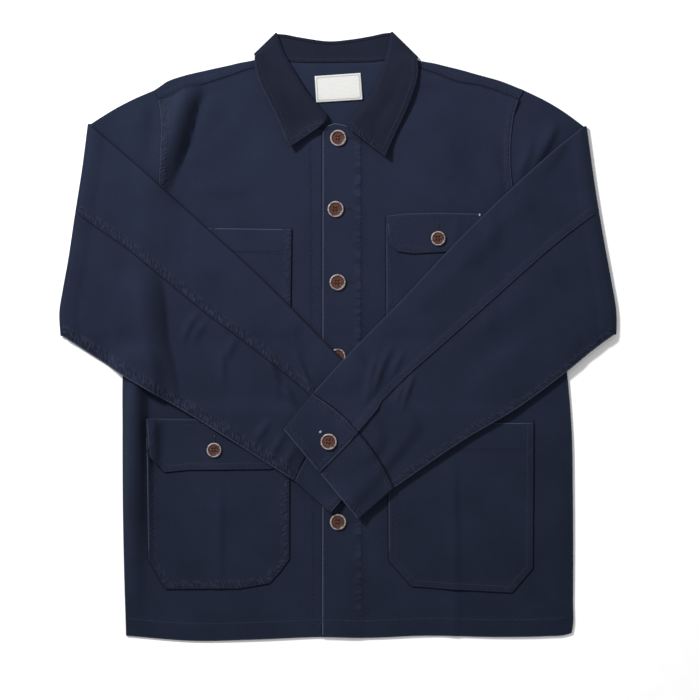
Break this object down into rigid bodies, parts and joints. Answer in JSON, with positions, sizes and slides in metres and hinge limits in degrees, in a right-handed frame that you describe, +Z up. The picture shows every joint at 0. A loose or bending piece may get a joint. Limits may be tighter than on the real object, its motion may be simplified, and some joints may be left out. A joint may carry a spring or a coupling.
{
  "type": "chore jacket",
  "caption": "Cotton canvas chore jacket with a turned-down collar, buttoned front, patch pockets and cuffed sleeves, laid flat face up with its sleeves crossed.",
  "frame": {"origin": "middle of the jacket's box in plan, on the surface that the jacket lies on", "axes": "+X to the wearer's left, +Y from the hem towards the collar, +Z up from the surface and out of the jacket's front"},
  "size_m": [0.6944, 0.7602, 0.0262],
  "materials": {
    "canvas": "navy cotton canvas, matt and slightly brushed, with tone-on-tone stitching",
    "label_ribbon": "off-white woven ribbon, matt, bare",
    "button_resin": "brown resin, satin, with a lighter rim"
  },
  "bodies": {
    "root": {"back": "canvas", "front_right": "canvas", "front_left": "canvas", "collar_stand": "canvas", "collar_fall": "canvas", "sleeve_top_right": "canvas", "sleeve_under_right": "canvas", "sleeve_top_left": "canvas", "sleeve_under_left": "canvas", "cuff_right": "canvas", "cuff_left": "canvas", "chest_pocket_right": "canvas", "chest_pocket_left": "canvas", "hip_pocket_right": "canvas", "hip_pocket_left": "canvas", "chest_flap_left": "canvas", "hip_flap_right": "canvas", "neck_label": "label_ribbon", "front_button_1": "button_resin", "front_button_2": "button_resin", "front_button_3": "button_resin", "front_button_4": "button_resin", "front_button_5": "button_resin", "front_button_6": "button_resin", "flap_button_chest": "button_resin", "flap_button_hip": "button_resin", "cuff_button_right": "button_resin", "cuff_button_left": "button_resin"}
  },
  "joints": []
}
